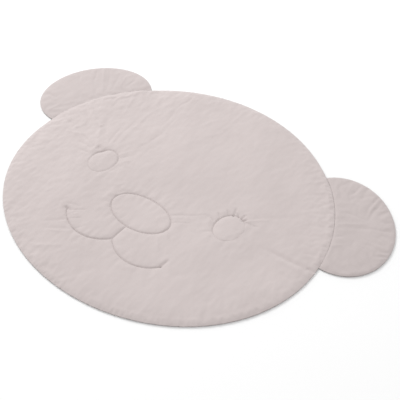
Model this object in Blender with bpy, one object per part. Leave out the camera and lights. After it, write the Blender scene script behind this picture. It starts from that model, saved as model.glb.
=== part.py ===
"""Bear-face floor mat for a child: a padded oval head with two padded ears sewn into its edge seam.

The face is quilted: the nose, the eyes and the smile are lines sewn through the filling, so they
lie deep between plump stretches of cloth. Lengths are in metres. The mat lies on the floor, z = 0,
with the centre of the head over the origin, +X to the right ear and +Y to the forehead.
"""

import math

import bmesh
import bpy
from mathutils import Vector
from mathutils.geometry import delaunay_2d_cdt
from mathutils.kdtree import KDTree

# Driving dimensions
HEAD_WIDTH = 1.080
HEAD_HEIGHT = 0.974
HEAD_JOWL = 0.039
HEAD_LOFT = 0.0142
EAR_LOFT = 0.0118
SEAM_HEIGHT = 0.0044
ROOT_SEAM_HEIGHT = 0.0092
SEWN_HEIGHT = 0.0085
GAP_AT_SEAM = 0.0004

EAR_CENTRE = (0.505, 0.206)
EAR_DEPTH = 0.322
EAR_LENGTH = 0.400
EAR_TILT = math.radians(36.3)

EYE_WIDTH = 0.089
EYE_HEIGHT = 0.110
EYES = [
    {"x": -0.254, "y": -0.033},
    {"x": 0.240, "y": -0.020},
]

NOSE_WIDTH = 0.214
NOSE_HEIGHT = 0.129
NOSE_CENTRE = (-0.006, -0.133)
NOSE_FLARE = 0.06

SMILE_JOIN = (-0.006, -0.258)
SMILE_HALVES = [
    {"side": -1, "radius": 0.121, "before_lowest": math.radians(53), "past_lowest": math.radians(54)},
    {"side": 1, "radius": 0.117, "before_lowest": math.radians(48), "past_lowest": math.radians(60)},
]

# How far the cloth takes to rise from a seam to its full loft
EDGE_ROLL = 0.030
ROOT_ROLL = 0.024
SEWN_ROLL = 0.020
UNDER_ROLL = 0.010

# Soft troughs in the cloth of the head, each from a start to an end in the face's plane
CREASES = [
    {"start": (-0.218, 0.362), "end": (-0.197, 0.240), "half_width": 0.013, "depth": 0.0014},
    {"start": (-0.197, 0.240), "end": (-0.190, 0.095), "half_width": 0.013, "depth": 0.0012},
    {"start": (-0.292, 0.022), "end": (-0.385, 0.110), "half_width": 0.012, "depth": 0.0020},
    {"start": (-0.302, 0.000), "end": (-0.470, 0.041), "half_width": 0.012, "depth": 0.0016},
    {"start": (0.292, 0.020), "end": (0.362, 0.056), "half_width": 0.012, "depth": 0.0020},
    {"start": (0.274, 0.036), "end": (0.338, 0.130), "half_width": 0.012, "depth": 0.0016},
    {"start": (0.083, -0.078), "end": (0.190, -0.026), "half_width": 0.011, "depth": 0.0013},
    {"start": (0.103, -0.116), "end": (0.196, -0.074), "half_width": 0.011, "depth": 0.0013},
    {"start": (0.360, -0.030), "end": (0.520, -0.012), "half_width": 0.016, "depth": 0.0022},
    {"start": (-0.190, -0.262), "end": (-0.262, -0.380), "half_width": 0.014, "depth": 0.0014},
    {"start": (0.186, -0.250), "end": (0.290, -0.300), "half_width": 0.014, "depth": 0.0014},
    {"start": (-0.033, 0.300), "end": (0.046, 0.420), "half_width": 0.018, "depth": 0.0014},
]

# Small gathers that stand along a seam
HEAD_GATHERS = 43
EAR_GATHERS = 9
GATHER_DEPTH = 0.0009
GATHER_REACH = 0.045

# Mesh density: the rings of points that run all round at these distances from the edge seam, the
# spacing of the points further in, and the rows of points beside and round the end of each sewn line
EDGE_POINTS = 232
EDGE_RINGS = [0.0, 0.003, 0.008, 0.016, 0.027, 0.042]
FIELD_SPACING = 0.027
LINE_SPACING = 0.0085
LINE_ROWS = [0.0045, 0.0115, 0.021]
ROW_POINT_GAP = 0.0060
END_FAN = 12
LINE_CLEARANCE = 0.029
UNDER_STEPS = [(0.001, 0.0028), (0.004, 0.0008), (UNDER_ROLL, 0.0)]
EAR_COLUMNS = 28
EAR_ROWS = [0.0, 0.03, 0.09, 0.18, 0.32, 0.5, 0.68, 0.82, 0.92, 0.975, 1.0]
WELD = 1e-5

CLOTH_COLOUR = (0.62, 0.55, 0.535, 1.0)
HEAD_SEMI_X = HEAD_WIDTH / 2
HEAD_SEMI_Y = HEAD_HEIGHT / 2


def clear_scene():
    """Remove every object of the scene that is open."""
    for obj in list(bpy.data.objects):
        bpy.data.objects.remove(obj, do_unlink=True)


def velvet(name, colour):
    """Matt, short-piled cloth."""
    material = bpy.data.materials.new(name)
    material.use_nodes = True
    shader = material.node_tree.nodes["Principled BSDF"]
    shader.inputs["Base Color"].default_value = colour
    shader.inputs["Roughness"].default_value = 0.9
    shader.inputs["Metallic"].default_value = 0.0
    return material


def roll(distance, reach):
    """How full the filling is at a distance from a seam, from 0 at the seam to 1 past the reach."""
    t = min(max(distance / reach, 0.0), 1.0)
    return math.sqrt(1.0 - (1.0 - t) ** 2)


def steps_along(length):
    """How many even steps a sewn line of this length is cut into."""
    return max(2, round(length / LINE_SPACING))


def eye_line(eye):
    """The upright oval sewn round one eye."""
    steps = steps_along(math.pi * (EYE_WIDTH + EYE_HEIGHT) / 2)
    turns = (2 * math.pi * i / steps for i in range(steps + 1))
    return [
        Vector((eye["x"] + EYE_WIDTH / 2 * math.cos(t), eye["y"] + EYE_HEIGHT / 2 * math.sin(t)))
        for t in turns
    ]


def nose_line():
    """The nose, an oval a little wider above its middle."""
    steps = steps_along(math.pi * (NOSE_WIDTH + NOSE_HEIGHT) / 2)
    points = []
    for i in range(steps + 1):
        t = 2 * math.pi * (i / steps - 0.25)
        half_width = NOSE_WIDTH / 2 * (1 + NOSE_FLARE * math.sin(t))
        across, up = half_width * math.cos(t), NOSE_HEIGHT / 2 * math.sin(t)
        points.append(Vector(NOSE_CENTRE) + Vector((across, up)))
    return points


def smile_line(half):
    """One half of the smile: an arc that starts under the nose and ends at the cheek."""
    side, radius, start = half["side"], half["radius"], half["before_lowest"]
    sweep = start + half["past_lowest"]
    to_centre = Vector((side * math.sin(start), math.cos(start))) * radius
    steps = steps_along(sweep * radius)
    points = []
    for i in range(steps + 1):
        t = sweep * i / steps - start
        arm = Vector((side * math.sin(t), -math.cos(t))) * radius
        points.append(Vector(SMILE_JOIN) + to_centre + arm)
    return points


def lip_line():
    """The short straight line from the nose down to the smile."""
    nose_foot = Vector(NOSE_CENTRE) - Vector((0, NOSE_HEIGHT / 2))
    join = Vector(SMILE_JOIN)
    steps = steps_along((nose_foot - join).length)
    return [nose_foot.lerp(join, i / steps) for i in range(steps + 1)]


def sewn_lines():
    """Every line that is sewn through the head."""
    smile = (smile_line(half) for half in SMILE_HALVES)
    return [*(eye_line(eye) for eye in EYES), nose_line(), *smile, lip_line()]


def search_tree(lines):
    """A tree that finds the nearest place on any of the lines."""
    fill_in = 6
    points = []
    for line in lines:
        for a, b in zip(line, line[1:]):
            points += [a.lerp(b, i / fill_in) for i in range(fill_in)]
        points.append(line[-1])
    tree = KDTree(len(points))
    for i, point in enumerate(points):
        tree.insert(point.to_3d(), i)
    tree.balance()
    return tree


def distance_to_segment(point, start, end):
    """Distance in the plane from a point to a straight stretch."""
    start, end = Vector(start), Vector(end)
    along = end - start
    t = min(max((point - start).dot(along) / along.length_squared, 0.0), 1.0)
    return (point - start - along * t).length


def crease_depth(x, y):
    """How far the creases press the cloth down at a place on the head."""
    place = Vector((x, y))
    depth = 0.0
    for crease in CREASES:
        across = distance_to_segment(place, crease["start"], crease["end"]) / crease["half_width"]
        depth += crease["depth"] * math.exp(-(across**2))
    return depth


def gather_height(turn, count, inset):
    """The small gathers along an edge seam: they fade out towards the seam and into the pad."""
    swing = math.sin(count * turn) + 0.6 * math.sin((count * 0.62) * turn + 1.3)
    fade = roll(inset, 0.012) * math.exp(-inset / GATHER_REACH)
    return GATHER_DEPTH * swing * fade


def half_width_at(turn):
    """Half the head's width for an angle round it: a little more below its middle, at the jowls."""
    return HEAD_SEMI_X * (1.0 - HEAD_JOWL * math.sin(turn))


def head_place(inset, turn):
    """A point of the head's plane, at a distance in from its edge."""
    share = 1.0 - inset / HEAD_SEMI_X
    return Vector((half_width_at(turn) * share * math.cos(turn), HEAD_SEMI_Y * share * math.sin(turn), 0))


def head_turn(x, y):
    """The angle round the head of a point of its plane, as head_place has it."""
    turn = math.atan2(y / HEAD_SEMI_Y, x / HEAD_SEMI_X)
    for _ in range(4):
        turn = math.atan2(y / HEAD_SEMI_Y, x / half_width_at(turn))
    return turn


def head_inset(x, y):
    """Distance of a point of the head's plane from its edge, as head_place has it."""
    return HEAD_SEMI_X * (1.0 - math.hypot(x / half_width_at(head_turn(x, y)), y / HEAD_SEMI_Y))


def seam_height(x, y):
    """Height of the seams at a place: they stand higher where an ear is sewn to the head."""
    off = Vector((abs(x) - EAR_CENTRE[0], y - EAR_CENTRE[1]))
    out = off.dot(Vector((math.cos(EAR_TILT), math.sin(EAR_TILT)))) / (EAR_DEPTH / 2)
    along = off.dot(Vector((-math.sin(EAR_TILT), math.cos(EAR_TILT)))) / (EAR_LENGTH / 2)
    share = min(max((1.0 - math.hypot(out, along)) / 0.25, 0.0), 1.0)
    return SEAM_HEIGHT + (ROOT_SEAM_HEIGHT - SEAM_HEIGHT) * share


def head_height(x, y, tree):
    """Height of the head's top: its roll at the edge, its sewn lines, its creases and its gathers."""
    inset = max(head_inset(x, y), 0.0)
    sewn = tree.find(Vector((x, y, 0)))[2]
    plump = roll(sewn, SEWN_ROLL)
    full = HEAD_LOFT - crease_depth(x, y)
    full += gather_height(math.atan2(y, x), HEAD_GATHERS, inset)
    seam = seam_height(x, y)
    edged = seam + (full - seam) * roll(inset, EDGE_ROLL)
    return SEWN_HEIGHT + (edged - SEWN_HEIGHT) * plump


def field_points(tree):
    """Points over the head's sheet: rings along the edge seam, then even rings to the middle."""
    points = []
    for inset in EDGE_RINGS:
        turns = (2 * math.pi * i / EDGE_POINTS for i in range(EDGE_POINTS))
        points += [head_place(inset, turn) for turn in turns]
    inset = EDGE_RINGS[-1] + FIELD_SPACING * 0.8
    ring = 0
    while inset < HEAD_SEMI_X:
        count = max(1, round(2 * math.pi * (HEAD_SEMI_X - inset) / FIELD_SPACING))
        turns = (2 * math.pi * (i + ring % 2 / 2) / count for i in range(count))
        points += [head_place(inset, turn) for turn in turns]
        inset += FIELD_SPACING
        ring += 1
    return [point.to_2d() for point in points if tree.find(point)[2] > LINE_CLEARANCE]


def row_places(line, row):
    """Places at one distance from a sewn line: on both its sides, and round its two ends."""
    places = []
    for before, after in zip(line, line[1:]):
        square = (after - before).orthogonal().normalized() * row
        places += [(before + after) / 2 + square, (before + after) / 2 - square]
    turns = (2 * math.pi * i / END_FAN for i in range(END_FAN))
    fan = [Vector((math.cos(turn), math.sin(turn))) * row for turn in turns]
    return places + [end + arm for end in (line[0], line[-1]) for arm in fan]


def row_points(lines, tree):
    """Points in rows beside the sewn lines, left out where they would crowd a line or each other."""
    points = []
    for row in LINE_ROWS:
        for place in (place for line in lines for place in row_places(line, row)):
            clear_of_lines = tree.find(place.to_3d())[2] > row * 0.93
            if clear_of_lines and all((place - other).length > ROW_POINT_GAP for other in points):
                points.append(place)
    return points


def head_sheet(lines, tree):
    """The head's flat sheet of triangles, whose edges run along every sewn line."""
    points, seams = [], []
    for line in lines:
        first = len(points)
        points += line
        seams += [(first + i, first + i + 1) for i in range(len(line) - 1)]
    points += row_points(lines, tree) + field_points(tree)
    places, _, triangles, *_ = delaunay_2d_cdt(points, seams, [], 0, WELD)
    bm = bmesh.new()
    corners = [bm.verts.new((place.x, place.y, 0)) for place in places]
    for triangle in triangles:
        bm.faces.new([corners[i] for i in triangle])
    return bm


def close_underneath(bm):
    """Run the edge seam down and in to the floor, and close the flat underside."""
    rim = [edge for edge in bm.edges if edge.is_boundary]
    for inset, height in UNDER_STEPS:
        made = bmesh.ops.extrude_edge_only(bm, edges=rim)["geom"]
        rim = [item for item in made if isinstance(item, bmesh.types.BMEdge)]
        for vert in {vert for edge in rim for vert in edge.verts}:
            vert.co = head_place(inset, head_turn(vert.co.x, vert.co.y)) + Vector((0, 0, height))
    bmesh.ops.contextual_create(bm, geom=rim)


def finish(bm, name, material, collection):
    """Write the mesh as one smooth object."""
    bmesh.ops.recalc_face_normals(bm, faces=bm.faces[:])
    mesh = bpy.data.meshes.new(name)
    bm.to_mesh(mesh)
    bm.free()
    mesh.materials.append(material)
    mesh.shade_smooth()
    obj = bpy.data.objects.new(name, mesh)
    collection.objects.link(obj)
    return obj


def make_head(material, collection):
    """The head: a flat oval sheet, raised to the quilted form and closed underneath."""
    lines = sewn_lines()
    tree = search_tree(lines)
    bm = head_sheet(lines, tree)
    for vert in bm.verts:
        vert.co.z = head_height(vert.co.x, vert.co.y, tree)
    close_underneath(bm)
    return finish(bm, "head_pad", material, collection)


def ear_rim(turn, side):
    """A point of the ear's outer edge, at an angle round its oval."""
    out = Vector((math.cos(EAR_TILT), math.sin(EAR_TILT), 0)) * (EAR_DEPTH / 2 * math.cos(turn))
    along = Vector((-math.sin(EAR_TILT), math.cos(EAR_TILT), 0)) * (EAR_LENGTH / 2 * math.sin(turn))
    place = Vector((*EAR_CENTRE, 0)) + out + along
    return Vector((side * place.x, place.y, 0))


def ear_corner(direction):
    """The angle round the ear's oval where it meets the head's edge, found by halving."""
    outside, inside = 0.0, direction * math.pi * 0.9
    for _ in range(40):
        middle = (outside + inside) / 2
        place = ear_rim(middle, 1)
        if head_inset(place.x, place.y) < -GAP_AT_SEAM:
            outside = middle
        else:
            inside = middle
    return outside


def make_ear(name, side, material, collection):
    """One ear: a pad between the head's edge seam and its own outer seam."""
    first, last = ear_corner(-1), ear_corner(1)
    head_turns = [head_turn(end.x, end.y) for end in (ear_rim(first, 1), ear_rim(last, 1))]
    rows = len(EAR_ROWS) - 1
    bm = bmesh.new()
    bmesh.ops.create_grid(bm, x_segments=EAR_COLUMNS, y_segments=rows, size=0.5)
    for vert in bm.verts:
        u = vert.co.x + 0.5
        share = EAR_ROWS[round((vert.co.y + 0.5) * rows)]
        root = head_place(-GAP_AT_SEAM, head_turns[0] + (head_turns[1] - head_turns[0]) * u)
        root.x *= side
        rim = ear_rim(first + (last - first) * u, side)
        depth = (rim - root).length
        place = root.lerp(rim, share)
        from_rim, from_root = depth * (1 - share), depth * share
        full = EAR_LOFT + gather_height(2 * math.pi * u, EAR_GATHERS + (side > 0), from_rim)
        plump = roll(from_rim, EDGE_ROLL) * roll(from_root, ROOT_ROLL)
        seam = seam_height(place.x, place.y)
        vert.co = Vector((place.x, place.y, seam + (full - seam) * plump))
    under = bmesh.ops.duplicate(bm, geom=bm.verts[:] + bm.edges[:] + bm.faces[:])["geom"]
    for vert in (item for item in under if isinstance(item, bmesh.types.BMVert)):
        seam = seam_height(vert.co.x, vert.co.y)
        plump = max(vert.co.z - seam, 0.0) / (EAR_LOFT - seam)
        vert.co.z = seam * (1.0 - min(plump * 1.6, 1.0))
    bmesh.ops.reverse_faces(bm, faces=[item for item in under if isinstance(item, bmesh.types.BMFace)])
    bmesh.ops.remove_doubles(bm, verts=bm.verts[:], dist=WELD)
    return finish(bm, name, material, collection)


def main():
    clear_scene()
    collection = bpy.data.collections.new("bear_face_mat")
    bpy.context.scene.collection.children.link(collection)
    material = velvet("velvet", CLOTH_COLOUR)
    make_head(material, collection)
    for name, side in (("ear_left", -1), ("ear_right", 1)):
        make_ear(name, side, material, collection)


main()
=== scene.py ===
import math

import bpy
import numpy as np
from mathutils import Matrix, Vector, noise
from mathutils.geometry import delaunay_2d_cdt
from mathutils.kdtree import KDTree


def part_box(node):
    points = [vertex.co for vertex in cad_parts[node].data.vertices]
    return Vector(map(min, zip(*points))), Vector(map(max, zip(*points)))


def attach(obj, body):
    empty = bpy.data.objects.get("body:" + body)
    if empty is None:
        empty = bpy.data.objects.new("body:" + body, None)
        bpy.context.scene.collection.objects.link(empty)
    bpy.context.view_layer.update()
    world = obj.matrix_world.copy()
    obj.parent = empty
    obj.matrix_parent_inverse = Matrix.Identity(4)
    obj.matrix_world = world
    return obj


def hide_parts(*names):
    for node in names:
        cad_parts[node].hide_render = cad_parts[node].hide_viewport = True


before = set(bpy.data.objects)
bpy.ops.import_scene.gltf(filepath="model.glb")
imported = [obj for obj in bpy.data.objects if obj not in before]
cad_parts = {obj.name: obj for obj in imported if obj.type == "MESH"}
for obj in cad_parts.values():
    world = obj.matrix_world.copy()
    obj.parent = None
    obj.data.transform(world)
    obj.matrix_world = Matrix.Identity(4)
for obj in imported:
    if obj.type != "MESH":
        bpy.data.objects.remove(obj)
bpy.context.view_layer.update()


# Camera: it stands over the mat's right cheek and looks down across the face, as the photograph
# was taken, with a long lens and no tilt to either side.
CAMERA_AIM = Vector((0.1012, 0.0274, 0.0))
CAMERA_AZIMUTH = math.radians(37.53)
CAMERA_ELEVATION = math.radians(46.65)
CAMERA_DISTANCE = 2.380
CAMERA_LENS = 68.40

camera_back = Vector(
    (
        math.sin(CAMERA_AZIMUTH) * math.cos(CAMERA_ELEVATION),
        -math.cos(CAMERA_AZIMUTH) * math.cos(CAMERA_ELEVATION),
        math.sin(CAMERA_ELEVATION),
    )
)
bpy.ops.object.camera_add(location=CAMERA_AIM + camera_back * CAMERA_DISTANCE)
camera = bpy.context.object
camera.name = "camera"
camera.rotation_euler = (-camera_back).to_track_quat("-Z", "Y").to_euler()
camera.data.lens = CAMERA_LENS
bpy.context.scene.camera = camera


# Head: an oval of velvet laid over wadding, sewn to a second oval round its edge and turned out.
# The eyes, the nose and the smile are quilted through all layers, so the cloth is drawn down to
# them in narrow channels, and it gathers along every seam because it was cut flat.
head_low, head_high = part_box("head_pad")
HEAD_SEMI = np.array([0.540, (head_high.y - head_low.y) / 2])
HEAD_JOWL = 0.039
HEAD_LOFT = 0.0138
SEAM_HEIGHT = 0.0036
EYE_SIZE = (0.089, 0.110)
EYE_CENTRES = [(-0.251, -0.034), (0.247, -0.0205)]
NOSE_SIZE = (0.214, 0.129)
NOSE_CENTRE = (-0.003, -0.138)
NOSE_FLARE = 0.06
SMILE_JOIN = (-0.004, -0.2635)
SMILE_HALVES = [
    {"side": -1, "radius": 0.121, "before_lowest": math.radians(51), "past_lowest": math.radians(54)},
    {"side": 1, "radius": 0.117, "before_lowest": math.radians(50), "past_lowest": math.radians(53)},
]


def evenly(line, spacing):
    """The same line with its points evenly spaced along it."""
    line = np.asarray(line, float)
    lengths = np.linalg.norm(np.diff(line, axis=0), axis=1)
    along = np.concatenate([[0.0], np.cumsum(lengths)])
    count = max(2, round(along[-1] / spacing))
    places = np.linspace(0.0, along[-1], count + 1)
    return np.stack([np.interp(places, along, line[:, axis]) for axis in (0, 1)], axis=1)


def oval(centre, semi, flare=0.0):
    """A closed oval that starts at its foot, made wider above its middle by the flare."""
    turns = np.linspace(-0.5 * np.pi, 1.5 * np.pi, 1441)
    width = semi[0] * (1 + flare * np.sin(turns))
    return np.stack([centre[0] + width * np.cos(turns), centre[1] + semi[1] * np.sin(turns)], axis=1)


def smile_line(half):
    """One half of the smile, from its join under the nose to its tip in the cheek."""
    turns = np.linspace(-half["before_lowest"], half["past_lowest"], 241)
    arms = np.stack([half["side"] * np.sin(turns), -np.cos(turns)], axis=1) * half["radius"]
    return SMILE_JOIN + arms - arms[0]


STITCH_STEP = 0.004
nose_foot = (NOSE_CENTRE[0], NOSE_CENTRE[1] - NOSE_SIZE[1] / 2)
head_outline = oval((0, 0), HEAD_SEMI, -HEAD_JOWL)
sewn_lines = [oval(centre, np.array(EYE_SIZE) / 2) for centre in EYE_CENTRES]
sewn_lines += [oval(NOSE_CENTRE, np.array(NOSE_SIZE) / 2, NOSE_FLARE)]
sewn_lines += [*(smile_line(half) for half in SMILE_HALVES), [nose_foot, SMILE_JOIN]]
sewn_lines = [evenly(line, STITCH_STEP) for line in sewn_lines]


def tree_of(lines):
    """A tree that finds the nearest place on any of the lines."""
    dense = np.concatenate([evenly(line, 0.001) for line in lines])
    tree = KDTree(len(dense))
    for i, (x, y) in enumerate(dense):
        tree.insert((x, y, 0.0), i)
    tree.balance()
    return tree


def distances(points, tree):
    """How far each point is from the lines in the tree."""
    return np.array([tree.find((x, y, 0.0))[2] for x, y in points])


def beside(line, offset, spacing):
    """Rows at one distance from a line: on both its sides, and round its two ends."""
    line = evenly(line, 0.002)
    along = np.gradient(line, axis=0)
    square = np.stack([-along[:, 1], along[:, 0]], axis=1)
    square /= np.linalg.norm(square, axis=1)[:, None]
    turns = np.linspace(0, 2 * np.pi, 25)
    fan = np.stack([np.cos(turns), np.sin(turns)], axis=1) * offset
    rows = [line + square * offset, line - square * offset, line[0] + fan, line[-1] + fan]
    return np.concatenate([evenly(row, spacing) for row in rows])


def spread(points, gaps):
    """Leave out each point that lies within its gap of one that is kept already."""
    cell = max(gaps)
    kept, cells = [], {}
    for (x, y), gap in zip(points, gaps):
        column, row = int(x // cell), int(y // cell)
        near = (cells.get((column + i, row + j), ()) for i in (-1, 0, 1) for j in (-1, 0, 1))
        if all((x - a) ** 2 + (y - b) ** 2 >= gap * gap for found in near for a, b in found):
            kept.append((x, y))
            cells.setdefault((column, row), []).append((x, y))
    return kept


def sheet_points(outline, lines, folds, edge_rows, line_rows, fold_rows, spacing):
    """The points of a flat sheet: rows beside its outline, its sewn lines and its folds, then a
    field. The rows give their distance from the line and the spacing of their points."""
    groups = [([outline], edge_rows), (lines, line_rows), (folds, fold_rows)]
    seams = [(tree_of(curves), curves, rows) for curves, rows in groups if curves]
    points, gaps = [], []
    for tree, curves, rows in seams:
        for offset, step in rows:
            row = np.concatenate([beside(curve, offset, step) for curve in curves])
            keep = distances(row, tree) > offset * 0.93
            points.append(row[keep])
            gaps += [step * 0.62] * int(keep.sum())
    low, high = outline.min(axis=0), outline.max(axis=0)
    rise = spacing * math.sqrt(0.75)
    for i, y in enumerate(np.arange(low[1], high[1], rise)):
        xs = np.arange(low[0] + spacing * (i % 2) / 2, high[0], spacing)
        points.append(np.stack([xs, np.full(len(xs), y)], axis=1))
        gaps += [spacing * 0.72] * len(xs)
    points = np.concatenate(points)
    keep = is_inside(points, outline)
    for tree, _, rows in seams:
        keep &= distances(points, tree) > rows[0][0] * 0.9
    return points[keep], np.array(gaps)[keep]


def is_inside(points, outline):
    """Which points lie within a closed outline."""
    inside = np.zeros(len(points), bool)
    for (ax, ay), (bx, by) in zip(outline, np.roll(outline, -1, axis=0)):
        crosses = (ay > points[:, 1]) != (by > points[:, 1])
        with np.errstate(divide="ignore", invalid="ignore"):
            at = ax + (points[:, 1] - ay) / (by - ay) * (bx - ax)
        inside ^= crosses & (points[:, 0] < at)
    return inside


def cut_sheet(outline, lines, folds, edge_rows, line_rows, fold_rows, spacing):
    """A flat sheet of triangles whose edges run along its outline and its sewn lines."""
    fixed, seams = [], []
    for line in [outline, *lines]:
        first = len(fixed)
        fixed += [tuple(place) for place in line]
        seams += [(first + i, first + i + 1) for i in range(len(line) - 1)]
    loose, gaps = sheet_points(outline, lines, folds, edge_rows, line_rows, fold_rows, spacing)
    kept = spread([*fixed, *loose], [0.0] * len(fixed) + list(gaps))
    points = [Vector(place) for place in kept]
    places, _, triangles, *_ = delaunay_2d_cdt(points, seams, [], 0, 1e-5)
    centres = np.array([sum((places[i] for i in t), Vector((0, 0))) / 3 for t in triangles])
    within = is_inside(centres, outline)
    triangles = [t for t, keep in zip(triangles, within) if keep]
    return np.array([tuple(place) for place in places]), triangles


# Each fold: where it starts, where it ends, its half width, and its depth, less than 0 for a ridge
HEAD_FOLDS = [
    # from the left eye to the rim
    ((-0.286, -0.001), (-0.313, 0.006), 0.0115, 0.0044),
    ((-0.325, -0.003), (-0.399, 0.022), 0.0050, 0.0022),
    ((-0.326, -0.016), (-0.385, -0.012), 0.0045, 0.0016),
    ((-0.318, -0.034), (-0.363, -0.045), 0.0045, 0.0013),
    ((-0.349, -0.002), (-0.439, 0.024), 0.0060, -0.0013),
    ((-0.337, 0.044), (-0.386, 0.097), 0.0060, -0.0024),
    ((-0.375, 0.086), (-0.452, 0.127), 0.0070, -0.0026),
    ((-0.441, 0.122), (-0.493, 0.151), 0.0070, -0.0018),
    ((-0.311, 0.045), (-0.387, 0.129), 0.0065, 0.0012),
    ((-0.398, 0.075), (-0.478, 0.114), 0.0075, 0.0022),
    ((-0.421, 0.064), (-0.509, 0.097), 0.0065, -0.0018),
    ((-0.434, 0.034), (-0.510, 0.062), 0.0060, -0.0017),
    ((-0.468, 0.034), (-0.528, 0.062), 0.0060, 0.0016),
    ((-0.396, 0.018), (-0.450, -0.004), 0.0055, -0.0012),
    ((-0.269, -0.063), (-0.236, -0.084), 0.0050, -0.0015),
    # from the left eye to the crown
    ((-0.296, 0.044), (-0.312, 0.128), 0.0048, 0.0015),
    ((-0.280, 0.051), (-0.295, 0.181), 0.0050, 0.0013),
    ((-0.266, 0.061), (-0.272, 0.139), 0.0048, -0.0010),
    ((-0.271, 0.153), (-0.285, 0.255), 0.0055, -0.0010),
    ((-0.198, 0.095), (-0.178, 0.179), 0.0060, 0.0009),
    ((-0.178, 0.179), (-0.192, 0.273), 0.0060, 0.0008),
    ((-0.208, 0.221), (-0.222, 0.338), 0.0060, 0.0009),
    ((-0.222, 0.338), (-0.212, 0.394), 0.0055, 0.0011),
    ((-0.225, 0.019), (-0.201, 0.062), 0.0050, -0.0009),
    ((-0.215, 0.008), (-0.180, 0.048), 0.0050, 0.0006),
    ((-0.197, -0.007), (-0.174, 0.016), 0.0050, -0.0009),
    ((-0.407, 0.182), (-0.419, 0.243), 0.0060, 0.0012),
    ((-0.446, 0.152), (-0.479, 0.203), 0.0060, 0.0010),
    ((-0.357, 0.194), (-0.386, 0.275), 0.0060, -0.0010),
    # at the left tip of the smile
    ((-0.199, -0.259), (-0.175, -0.262), 0.0046, 0.0040),
    ((-0.203, -0.241), (-0.165, -0.233), 0.0029, 0.0018),
    ((-0.176, -0.257), (-0.140, -0.224), 0.0029, 0.0015),
    ((-0.157, -0.284), (-0.131, -0.259), 0.0029, 0.0015),
    ((-0.122, -0.303), (-0.102, -0.272), 0.0029, 0.0013),
    ((-0.166, -0.271), (-0.147, -0.251), 0.0034, -0.0011),
    ((-0.164, -0.295), (-0.221, -0.348), 0.0052, 0.0011),
    ((-0.144, -0.320), (-0.191, -0.361), 0.0052, 0.0010),
    ((-0.142, -0.334), (-0.176, -0.359), 0.0034, -0.0009),
    ((-0.106, -0.379), (-0.180, -0.436), 0.0069, -0.0013),
    # at the right tip of the smile
    ((0.177, -0.254), (0.185, -0.226), 0.0042, 0.0036),
    ((0.105, -0.188), (0.139, -0.224), 0.0029, -0.0010),
    ((0.094, -0.142), (0.131, -0.168), 0.0040, -0.0017),
    # between the nose and the right eye
    ((0.083, -0.085), (0.167, -0.020), 0.0030, 0.0012),
    ((0.108, -0.106), (0.150, -0.077), 0.0030, 0.0010),
    ((0.093, -0.092), (0.158, -0.047), 0.0036, -0.0006),
    ((0.201, -0.075), (0.218, -0.062), 0.0030, 0.0010),
    # round the right eye
    ((0.201, 0.001), (0.186, 0.011), 0.0024, 0.0027),
    ((0.215, 0.023), (0.201, 0.037), 0.0024, 0.0027),
    ((0.227, 0.027), (0.218, 0.061), 0.0026, 0.0038),
    ((0.244, 0.034), (0.230, 0.049), 0.0024, 0.0029),
    ((0.256, 0.033), (0.256, 0.059), 0.0028, 0.0042),
    ((0.263, 0.029), (0.275, 0.043), 0.0035, 0.0053),
    ((0.278, 0.029), (0.322, 0.033), 0.0029, 0.0029),
    ((0.278, 0.034), (0.330, 0.075), 0.0044, -0.0013),
    ((0.292, 0.056), (0.389, 0.151), 0.0085, 0.0008),
    ((0.194, -0.025), (0.167, -0.020), 0.0026, 0.0027),
    # in the right cheek
    ((0.384, -0.026), (0.480, -0.014), 0.0075, 0.0011),
    ((0.541, -0.009), (0.385, -0.022), 0.0085, 0.0028),
    ((0.437, -0.033), (0.526, -0.029), 0.0090, -0.0016),
    ((0.474, -0.073), (0.528, -0.068), 0.0080, 0.0010),
    ((0.365, 0.132), (0.409, 0.187), 0.0090, -0.0008),
    ((0.544, 0.055), (0.520, 0.050), 0.0042, 0.0052),
    ((0.543, 0.035), (0.520, 0.045), 0.0036, 0.0036),
    ((0.535, 0.061), (0.478, 0.032), 0.0040, 0.0010),
    ((0.505, 0.179), (0.485, 0.165), 0.0036, 0.0040),
    ((0.523, 0.133), (0.494, 0.110), 0.0032, 0.0016),
    ((0.532, 0.106), (0.498, 0.080), 0.0032, 0.0014),
    ((0.538, 0.085), (0.516, 0.073), 0.0034, 0.0024),
    ((0.515, 0.158), (0.494, 0.144), 0.0036, -0.0014),
    ((0.538, -0.007), (0.513, -0.009), 0.0040, 0.0030),
    ((0.479, 0.219), (0.456, 0.207), 0.0040, -0.0010),
    ((0.490, 0.201), (0.467, 0.183), 0.0034, 0.0012),
    # on the crown
    ((-0.094, 0.309), (-0.067, 0.370), 0.0078, -0.0008),
    ((-0.028, 0.328), (0.006, 0.386), 0.0078, -0.0008),
    ((-0.044, 0.270), (-0.022, 0.320), 0.0078, -0.0008),
    ((-0.168, -0.083), (-0.180, 0.007), 0.0104, -0.0010),
]
EDGE_ROWS = [(0.002, 0.0036), (0.0045, 0.0036), (0.0075, 0.0036)]
EDGE_ROWS += [(0.0075 + 0.0036 * i, 0.0036 + 0.0001 * i) for i in range(1, 13)]
LINE_ROWS = [(0.0009, 0.0030), (0.0018, 0.0030), (0.0030, 0.0030), (0.0050, 0.0034)]
LINE_ROWS += [(0.0080, 0.0036), (0.0112, 0.0038), (0.0148, 0.0040), (0.0188, 0.0042)]
FOLD_ROWS = [(0.0, 0.0032), (0.0030, 0.0032), (0.0062, 0.0038)]
head_edge = evenly(head_outline, 0.0036)
head_folds = [fold[:2] for fold in HEAD_FOLDS]
rows = (EDGE_ROWS, LINE_ROWS, FOLD_ROWS)
head_places, head_triangles = cut_sheet(head_edge, sewn_lines, head_folds, *rows, 0.0046)


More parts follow.
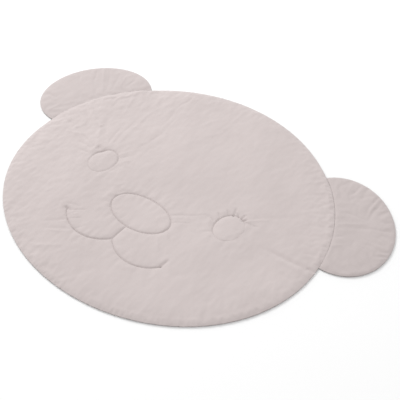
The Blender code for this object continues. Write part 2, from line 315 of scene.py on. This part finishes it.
def roll(distance, reach, power=0.5):
    """How full the wadding is at a distance from a seam, from 0 at the seam to 1 past the reach. A
    higher power makes a softer shoulder."""
    t = np.clip(distance / reach, 0, 1)
    return (1 - (1 - t) ** 2) ** power


# Beside a seam: how far the short shoulder reaches, its share of the rise, and the whole rise
EDGE_RISE = (0.012, 0.22, 0.062)


def plumped(distance, shoulder, share, reach):
    """How full the wadding is beside an edge seam: a short shoulder, then a long gentle rise."""
    return share * roll(distance, shoulder, 0.65) + (1 - share) * roll(distance, reach, 1)


def unevenness(points, scale, seed):
    """Smooth noise over the cloth, from about -1 to 1."""
    return np.array([noise.noise(Vector((x * scale, y * scale, seed))) for x, y in points]) * 1.6


FOLD_WANDER = 0.005
FOLD_FADE = 0.4


def folded(points, folds):
    """How far the folds press the cloth down at each point. Each wanders a little, and fades out
    towards its end."""
    wander = np.stack([unevenness(points, 14, 21.0), unevenness(points, 14, 34.0)], axis=1)
    points = points + FOLD_WANDER * wander
    depth = np.zeros(len(points))
    for start, end, half_width, deep in folds:
        start, way = np.array(start), np.array(end) - np.array(start)
        t = np.clip((points - start) @ way / (way @ way), 0, 1)
        across = np.linalg.norm(points - start - t[:, None] * way, axis=1) / half_width
        fade = np.clip((1 - t) / FOLD_FADE, 0, 1)
        depth += deep * fade * (2 - fade) * np.exp(-(across**2))
    return depth


EAR_CENTRE = (0.505, 0.206)
EAR_SEMI = (0.161, 0.200)
EAR_TILT = math.radians(36.3)
ROOT_SEAM_HEIGHT = 0.0085


def seam_height(points):
    """Height of the edge seam at each point: it stands higher where an ear is caught in it."""
    off = np.abs(points) * [1, 0] + points * [0, 1] - EAR_CENTRE
    out = (off @ [math.cos(EAR_TILT), math.sin(EAR_TILT)]) / EAR_SEMI[0]
    along = (off @ [-math.sin(EAR_TILT), math.cos(EAR_TILT)]) / EAR_SEMI[1]
    share = np.clip((1 - np.hypot(out, along)) / 0.25, 0, 1)
    return SEAM_HEIGHT + (ROOT_SEAM_HEIGHT - SEAM_HEIGHT) * share


# For each eye: the side where its stitching is slack, and how slack it is there
EYE_SLACK_SIDES = [((0.3, -0.95), 0.7), ((0.9, -0.44), 0.95)]
EYE_PUFF = 0.0018
QUILT_DIP, QUILT_REACH = 0.0020, 0.011
STITCH_DIP, STITCH_REACH = 0.0032, 0.0020


def quilted(distance):
    """How far a sewn line draws the cloth down: a soft hollow, and a narrow cleft at the thread."""
    hollow = QUILT_DIP * np.exp(-((distance / QUILT_REACH) ** 2))
    return hollow + STITCH_DIP * np.exp(-((distance / STITCH_REACH) ** 2))


def tightness(points):
    """How hard the quilting is drawn: each eye slackens towards one side."""
    tight, points = np.ones(len(points)), np.asarray(points)
    for centre, (slack_side, slackness) in zip(EYE_CENTRES, EYE_SLACK_SIDES):
        arms = points - centre
        reach = np.linalg.norm(arms, axis=1)
        towards = arms @ slack_side / np.maximum(reach, 1e-6)
        near = np.clip((0.11 - reach) / 0.03, 0, 1)
        tight -= near * slackness * np.clip(0.5 + towards, 0, 1)
    return tight


edge_distance = distances(head_places, tree_of([head_outline]))
sewn_distance = distances(head_places, tree_of(sewn_lines))
full = HEAD_LOFT - folded(head_places, HEAD_FOLDS) + 0.0003 * unevenness(head_places, 12, 3.0)
rim_height = seam_height(head_places)
height = rim_height + (full - rim_height) * plumped(edge_distance, *EDGE_RISE)
height -= quilted(sewn_distance) * tightness(head_places)
for centre in EYE_CENTRES:
    across = np.linalg.norm((head_places - centre) / (np.array(EYE_SIZE) / 2), axis=1)
    height += EYE_PUFF * np.clip(1 - across**2, 0, 1)

# The small crumple of the cloth, more of it on the left cheek and towards the rim
CRUMPLE_HEIGHT = 0.00040
LEFT_CHEEK_CRUMPLE = 1.3
RIM_CRUMPLE = 0.5
CRUMPLE_CLEAR = 0.01
coarse = unevenness(head_places * [1, 0.75], 45, 0.0)
fine = unevenness(head_places * [1, 0.6], 100, 5.0)
crumpled = coarse + 0.5 * fine
left_cheek = np.clip(-head_places[:, 0] / 0.4, 0, 1)
towards_rim = np.exp(-((edge_distance / 0.08) ** 2))
crumpled *= CRUMPLE_HEIGHT * (1 + LEFT_CHEEK_CRUMPLE * left_cheek + RIM_CRUMPLE * towards_rim)
height += crumpled * roll(edge_distance, CRUMPLE_CLEAR) * roll(sewn_distance, CRUMPLE_CLEAR)

# The seam allowance turned in along the rim shows as a low broken ridge
ALLOWANCE_PLACE = 0.017
ALLOWANCE_HALF_WIDTH = 0.0045
ALLOWANCE_HEIGHT = 0.0006
allowance = np.exp(-(((edge_distance - ALLOWANCE_PLACE) / ALLOWANCE_HALF_WIDTH) ** 2))
allowance = allowance * (0.6 + 0.6 * unevenness(head_places, 25, 12.0))
height += ALLOWANCE_HEIGHT * allowance

# The edge seam draws the cloth into short puckers square to the rim
PUCKER_HEIGHT = 0.0011
PUCKER_REACH = 0.015
PUCKER_CLEAR = 0.005
outwards = np.linalg.norm(head_places / HEAD_SEMI, axis=1)
rim_places = head_places / np.maximum(outwards, 1e-6)[:, None]
puckers = unevenness(rim_places, 120, 17.0) * np.exp(-((edge_distance / PUCKER_REACH) ** 2))
height += PUCKER_HEIGHT * puckers * roll(edge_distance, PUCKER_CLEAR)


def put_cloth(name, points, triangles):
    """A new mesh object in the scene."""
    mesh = bpy.data.meshes.new(name)
    mesh.from_pydata([tuple(point) for point in points], [], [tuple(t) for t in triangles])
    obj = bpy.data.objects.new(name, mesh)
    bpy.context.scene.collection.objects.link(obj)
    return obj


GATHER_SHARE = 0.45
GATHER_CAP = 0.0045
ON_SEAM = 0.0006
HOLD_BESIDE_SEAM = 0.08
HOLD_GAINED = 0.52
HOLD_REACH = 0.06


def gather(obj, seam_distance, slack):
    """Let the cloth gather along its seams. It was cut a little larger than it is sewn there, by
    the slack at each point, and the wadding under it holds it more firmly away from the seams."""
    before = np.array([tuple(v.co) for v in obj.data.vertices])
    held, snug = obj.vertex_groups.new(name="held"), obj.vertex_groups.new(name="snug")
    away = np.clip(seam_distance / HOLD_REACH, 0, 1)
    hold = np.where(seam_distance < ON_SEAM, 1.0, HOLD_BESIDE_SEAM + HOLD_GAINED * away)
    most = float(slack.max())
    for i, (firmness, give) in enumerate(zip(hold, slack)):
        held.add([i], float(firmness), "REPLACE")
        snug.add([i], float(1 - give / most), "REPLACE")
    cloth = obj.modifiers.new("gathers", "CLOTH")
    settings = cloth.settings
    settings.quality = 3
    settings.mass = 0.001
    settings.bending_stiffness = 200
    settings.vertex_group_mass = "held"
    settings.pin_stiffness = 1
    settings.vertex_group_shrink = "snug"
    settings.shrink_min = -most
    settings.shrink_max = 0
    settings.effector_weights.gravity = 0
    for number in range(1, 9):
        bpy.context.scene.frame_set(number)
        bpy.context.view_layer.update()
    bpy.ops.object.select_all(action="DESELECT")
    obj.select_set(True)
    bpy.context.view_layer.objects.active = obj
    bpy.ops.object.modifier_apply(modifier=cloth.name)
    bpy.context.scene.frame_set(1)
    after = np.array([tuple(v.co) for v in obj.data.vertices])
    move = (after - before) * GATHER_SHARE
    far = np.linalg.norm(move, axis=1)
    move *= (np.minimum(far, GATHER_CAP) / np.maximum(far, 1e-9))[:, None]
    obj.data.vertices.foreach_set("co", (before + move).ravel())
    obj.vertex_groups.clear()


HEAD_SLACK = 0.04
NEATER_SIDE = (0.61, -0.79)
head = put_cloth("head_pad_velvet", np.column_stack([head_places, height]), head_triangles)
uneven = 0.55 + 0.75 * unevenness(head_places, 6, 8.0)
uneven *= 1 - 0.45 * np.clip((head_places @ NEATER_SIDE) / 0.5, 0, 1)
near_edge = np.exp(-((edge_distance / 0.07) ** 2))
near_sewn = np.exp(-((sewn_distance / 0.04) ** 2))
slack = HEAD_SLACK * np.maximum(near_edge, 0.8 * near_sewn) * uneven.clip(0.05, 1)
gather(head, np.minimum(edge_distance, sewn_distance), slack)

UNDER_ROLL = 0.0055
UNDER_ROWS = [(0.002, 0.004), (0.006, 0.006), (0.0115, 0.008), (0.019, 0.010)]


def close_underneath(obj, outline, lines):
    """Sew the under sheet to the pad's edge: it turns under and lies flat, drawn up a little
    where it is quilted."""
    points, triangles = cut_sheet(outline, lines, [], UNDER_ROWS, UNDER_ROWS, [], 0.013)
    edge = distances(points, tree_of([outline]))
    rise = seam_height(points) * (1 - roll(edge, UNDER_ROLL))
    if lines:
        rise += 0.0025 * np.exp(-((distances(points, tree_of(lines)) / 0.007) ** 2))
    under = put_cloth(obj.name + "_under", np.column_stack([points, rise]), triangles)
    bpy.ops.object.select_all(action="DESELECT")
    under.select_set(True)
    obj.select_set(True)
    bpy.context.view_layer.objects.active = obj
    bpy.ops.object.join()
    bpy.ops.object.mode_set(mode="EDIT")
    bpy.ops.mesh.select_all(action="SELECT")
    bpy.ops.mesh.remove_doubles(threshold=0.00002)
    bpy.ops.mesh.normals_make_consistent(inside=False)
    bpy.ops.object.mode_set(mode="OBJECT")
    bpy.ops.object.shade_smooth()


close_underneath(head, head_edge, sewn_lines)


def velvet(name, light, dark):
    """Short-pile velvet: brushed nap that turns lighter and darker, a fine pile, and a soft sheen."""
    material = bpy.data.materials.new(name)
    material.use_nodes = True
    nodes, links = material.node_tree.nodes, material.node_tree.links
    shader = nodes["Principled BSDF"]
    shader.inputs["Roughness"].default_value = 0.95
    shader.inputs["Specular IOR Level"].default_value = 0.15
    shader.inputs["Sheen Weight"].default_value = 0.35
    shader.inputs["Sheen Roughness"].default_value = 0.45
    place = nodes.new("ShaderNodeTexCoord")

    def pattern(scale, detail, stretch):
        mapping = nodes.new("ShaderNodeMapping")
        mapping.inputs["Scale"].default_value = stretch
        texture = nodes.new("ShaderNodeTexNoise")
        texture.inputs["Scale"].default_value = scale
        texture.inputs["Detail"].default_value = detail
        texture.inputs["Roughness"].default_value = 0.55
        links.new(place.outputs["Object"], mapping.inputs["Vector"])
        links.new(mapping.outputs["Vector"], texture.inputs["Vector"])
        return texture.outputs["Fac"]

    def add(first, second, share):
        total = nodes.new("ShaderNodeMath")
        total.operation = "MULTIPLY_ADD"
        total.inputs[1].default_value = share
        links.new(second, total.inputs[0])
        links.new(first, total.inputs[2])
        return total.outputs[0]

    brushed = add(pattern(7, 2, (1, 0.5, 1)), pattern(60, 3, (1, 0.22, 1)), 0.6)
    nap = add(brushed, pattern(650, 1, (1, 0.6, 1)), 0.4)
    ramp = nodes.new("ShaderNodeValToRGB")
    ramp.color_ramp.elements[0].position = 0.55
    ramp.color_ramp.elements[0].color = dark
    ramp.color_ramp.elements[1].position = 1.0
    ramp.color_ramp.elements[1].color = light
    shared = nodes.new("ShaderNodeMath")
    shared.operation = "MULTIPLY"
    shared.inputs[1].default_value = 0.78
    links.new(nap, shared.inputs[0])
    links.new(shared.outputs[0], ramp.inputs["Fac"])
    links.new(ramp.outputs["Color"], shader.inputs["Base Color"])
    relief = add(pattern(75, 2, (1, 0.35, 1)), pattern(800, 1, (1, 1, 1)), 0.25)
    bump = nodes.new("ShaderNodeBump")
    bump.inputs["Strength"].default_value = 0.5
    bump.inputs["Distance"].default_value = 0.0009
    links.new(relief, bump.inputs["Height"])
    links.new(bump.outputs["Normal"], shader.inputs["Normal"])
    return material


VELVET_LIGHT = (0.559, 0.496, 0.486, 1)
VELVET_DARK = (0.507, 0.448, 0.439, 1)
head_velvet = velvet("dusty_rose_velvet", VELVET_LIGHT, VELVET_DARK)
head.data.materials.append(head_velvet)
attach(head, "root")
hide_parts("head_pad")


# Ears: each is a small pad of the same velvet and wadding, cut to a rounded lobe and caught in the
# head's edge seam along its root, so the head's edge stands up over it.
EAR_LOFT = 0.0106
GAP_AT_SEAM = 0.0004
# How much darker the ears' velvet is painted than the head's: painted shade, not a different cloth
EAR_PAINTED_SHADE = 0.935
EAR_CRUMPLE_HEIGHT = 0.00055
RIGHT_FOLDS = [
    ((0.477, 0.374), (0.472, 0.326), 0.0050, 0.0018),
    ((0.450, 0.365), (0.462, 0.324), 0.0065, -0.0012),
    ((0.503, 0.378), (0.505, 0.330), 0.0080, 0.0018),
    ((0.511, 0.378), (0.535, 0.353), 0.0050, -0.0018),
    ((0.538, 0.366), (0.541, 0.336), 0.0050, 0.0018),
    ((0.539, 0.340), (0.552, 0.271), 0.0055, 0.0015),
    ((0.545, 0.360), (0.554, 0.293), 0.0060, -0.0024),
    ((0.562, 0.341), (0.566, 0.308), 0.0055, 0.0018),
    ((0.562, 0.315), (0.563, 0.264), 0.0055, 0.0017),
    ((0.495, 0.248), (0.570, 0.264), 0.0060, 0.0015),
    ((0.518, 0.209), (0.573, 0.251), 0.0055, -0.0012),
    ((0.535, 0.204), (0.605, 0.248), 0.0070, 0.0011),
    ((0.579, 0.349), (0.578, 0.317), 0.0045, 0.0016),
    ((0.598, 0.332), (0.581, 0.293), 0.0050, 0.0020),
    ((0.608, 0.319), (0.592, 0.286), 0.0060, -0.0018),
    ((0.627, 0.303), (0.605, 0.281), 0.0050, 0.0012),
    ((0.634, 0.283), (0.613, 0.266), 0.0050, -0.0014),
    ((0.639, 0.266), (0.611, 0.245), 0.0060, 0.0012),
    ((0.678, 0.193), (0.654, 0.171), 0.0070, 0.0024),
    ((0.682, 0.173), (0.651, 0.145), 0.0045, 0.0014),
    ((0.681, 0.149), (0.659, 0.132), 0.0045, 0.0014),
    ((0.676, 0.178), (0.648, 0.157), 0.0040, -0.0010),
    ((0.570, 0.159), (0.581, 0.134), 0.0060, 0.0012),
    ((0.639, 0.108), (0.640, 0.090), 0.0100, 0.0014),
    ((0.445, 0.305), (0.415, 0.343), 0.0060, 0.0014),
    ((0.476, 0.307), (0.456, 0.341), 0.0055, 0.0012),
    ((0.527, 0.267), (0.506, 0.304), 0.0070, 0.0012),
    ((0.486, 0.326), (0.479, 0.289), 0.0060, 0.0010),
    ((0.518, 0.144), (0.540, 0.165), 0.0050, 0.0010),
    ((0.531, 0.110), (0.557, 0.130), 0.0050, -0.0009),
]
LEFT_FOLDS = [
    ((-0.583, 0.333), (-0.494, 0.230), 0.0060, -0.0016),
    ((-0.599, 0.306), (-0.509, 0.204), 0.0055, 0.0013),
    ((-0.515, 0.340), (-0.471, 0.248), 0.0060, 0.0013),
    ((-0.486, 0.346), (-0.459, 0.271), 0.0060, -0.0014),
    ((-0.648, 0.178), (-0.576, 0.146), 0.0060, 0.0014),
    ((-0.641, 0.265), (-0.570, 0.201), 0.0060, 0.0011),
    ((-0.557, 0.337), (-0.495, 0.258), 0.0050, 0.0010),
    ((-0.444, 0.342), (-0.449, 0.293), 0.0060, 0.0013),
    ((-0.651, 0.110), (-0.598, 0.107), 0.0055, 0.0012),
    ((-0.576, 0.055), (-0.567, 0.096), 0.0060, -0.0012),
]
EARS = [
    {
        "name": "ear_left",
        "side": -1,
        "folds": LEFT_FOLDS,
        "slack": 0.03,
        "seed": 4.0,
        "root_rise": (0.01, 0.0, 0.05),
    },
    {
        "name": "ear_right",
        "side": 1,
        "folds": RIGHT_FOLDS,
        "slack": 0.06,
        "seed": 9.0,
        "root_rise": (0.007, 1.0, 0.045),
    },
]

turns = np.linspace(-np.pi, np.pi, 7201)
lobe = np.stack([EAR_SEMI[0] * np.cos(turns), EAR_SEMI[1] * np.sin(turns)], axis=1)
tilt = np.array([[math.cos(EAR_TILT), math.sin(EAR_TILT)], [-math.sin(EAR_TILT), math.cos(EAR_TILT)]])
lobe = lobe @ tilt + EAR_CENTRE
head_side = oval((0, 0), HEAD_SEMI + GAP_AT_SEAM, -HEAD_JOWL)
lobe = lobe[~is_inside(lobe, head_side)]
root_ends = [np.linalg.norm(head_side - end, axis=1).argmin() for end in (lobe[0], lobe[-1])]
root = head_side[root_ends[0] + 1 : root_ends[1]][::-1]


def painted_shade_copy(colour):
    """The same velvet colour made a little darker: painted shade for the ears."""
    return [level * EAR_PAINTED_SHADE for level in colour[:3]] + [1]


# The ears get a darker copy of the head's velvet: painted shade
ear_painted_shade_velvet = velvet("dusty_rose_velvet_painted_shade", painted_shade_copy(VELVET_LIGHT), painted_shade_copy(VELVET_DARK))

for ear_row in EARS:
    name, folds, seed = ear_row["name"], ear_row["folds"], ear_row["seed"]
    flip = np.array([ear_row["side"], 1])
    ear_edge = evenly(np.concatenate([lobe, root, lobe[:1]]) * flip, 0.0036)
    lines = [fold[:2] for fold in folds]
    ear_places, ear_triangles = cut_sheet(ear_edge, [], lines, EDGE_ROWS, [], FOLD_ROWS, 0.0046)
    rim_distance = distances(ear_places, tree_of([lobe * flip]))
    root_distance = distances(ear_places, tree_of([root * flip]))
    full = EAR_LOFT - folded(ear_places, folds) + 0.0004 * unevenness(ear_places, 14, seed)
    plump = plumped(rim_distance, *EDGE_RISE) * plumped(root_distance, *ear_row["root_rise"])
    rim_height = seam_height(ear_places)
    height = rim_height + (full - rim_height) * plump
    crumpled = EAR_CRUMPLE_HEIGHT * unevenness(ear_places * [1, 0.75], 45, seed)
    height += crumpled * roll(rim_distance, CRUMPLE_CLEAR) * roll(root_distance, CRUMPLE_CLEAR)
    ear = put_cloth(name + "_velvet", np.column_stack([ear_places, height]), ear_triangles)
    uneven = (0.6 + 0.6 * unevenness(ear_places, 9, seed)).clip(0.05, 1)
    near_rim = np.exp(-((rim_distance / 0.07) ** 2))
    near_root = 0.6 * np.exp(-((root_distance / 0.04) ** 2))
    seam_distance = np.minimum(rim_distance, root_distance)
    gather(ear, seam_distance, ear_row["slack"] * np.maximum(near_rim, near_root) * uneven)
    close_underneath(ear, ear_edge, [])
    ear.data.materials.append(ear_painted_shade_velvet)
    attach(ear, "root")
    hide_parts(name)


# Quilting thread: one even running stitch in thread of the velvet's own colour, along the eyes, the
# nose, the lip and the smile. It lies sunk between the shoulders of the cloth.
THREAD_LENGTH = 0.0031
THREAD_WIDTH = 0.0008
THREAD_COLOUR = (0.50, 0.44, 0.43, 1)
bpy.ops.object.select_all(action="DESELECT")
bpy.ops.mesh.primitive_uv_sphere_add(segments=8, ring_count=6, radius=0.5)
stitch = bpy.context.object
stitch_points = np.array([tuple(v.co) for v in stitch.data.vertices])
# A new ball lists its faces in another order each time, so they are put in one fixed order
stitch_faces = sorted(tuple(face.vertices) for face in stitch.data.polygons)
bpy.data.objects.remove(stitch)
stitch_points = stitch_points[:, [2, 0, 1]] * (THREAD_LENGTH, THREAD_WIDTH, THREAD_WIDTH)
thread_points, thread_faces = [], []
for line in sewn_lines:
    for start, end in zip(line, line[1:]):
        way = (end - start) / np.linalg.norm(end - start)
        turn = np.array([[way[0], way[1], 0], [-way[1], way[0], 0], [0, 0, 1]])
        sunk = quilted(0.0) * tightness([(start + end) / 2])[0]
        middle = np.array([*(start + end) / 2, HEAD_LOFT - sunk + THREAD_WIDTH * 0.25])
        first_point = sum(len(made) for made in thread_points)
        thread_points.append(stitch_points @ turn + middle)
        thread_faces += [tuple(first_point + i for i in face) for face in stitch_faces]
stitching = put_cloth("quilting_thread", np.concatenate(thread_points), thread_faces)
stitching.data.shade_smooth()
thread = bpy.data.materials.new("quilting_thread")
thread.use_nodes = True
thread_shader = thread.node_tree.nodes["Principled BSDF"]
thread_shader.inputs["Base Color"].default_value = THREAD_COLOUR
thread_shader.inputs["Roughness"].default_value = 0.6
stitching.data.materials.append(thread)
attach(stitching, "root")


# Floor and light: a plain white floor that runs out of view, an even white surround, and one large
# soft light from the mat's left, which models the gathers and leaves a thin shadow on the right.
FLOOR_WHITE = (0.87, 0.87, 0.87, 1)
FLOOR_GAP = 0.0005
bpy.ops.mesh.primitive_plane_add(size=30, location=(0, 0, -FLOOR_GAP))
floor = bpy.context.object
floor.name = "floor"
paper = bpy.data.materials.new("white_floor")
paper.use_nodes = True
paper_shader = paper.node_tree.nodes["Principled BSDF"]
paper_shader.inputs["Base Color"].default_value = FLOOR_WHITE
paper_shader.inputs["Roughness"].default_value = 0.9
floor.data.materials.append(paper)

world = bpy.data.worlds.new("studio")
world.use_nodes = True
world.node_tree.nodes["Background"].inputs["Color"].default_value = (1, 1, 1, 1)
world.node_tree.nodes["Background"].inputs["Strength"].default_value = 0.92
bpy.context.scene.world = world

key_place = Vector((-3.3, 1.25, 2.9))
bpy.ops.object.light_add(type="AREA", location=key_place)
key = bpy.context.object
key.name = "key_light"
key.rotation_euler = (-key_place).to_track_quat("-Z", "Y").to_euler()
key.data.shape = "SQUARE"
key.data.size = 1.8
key.data.energy = 104
bpy.context.scene.view_settings.view_transform = "Standard"
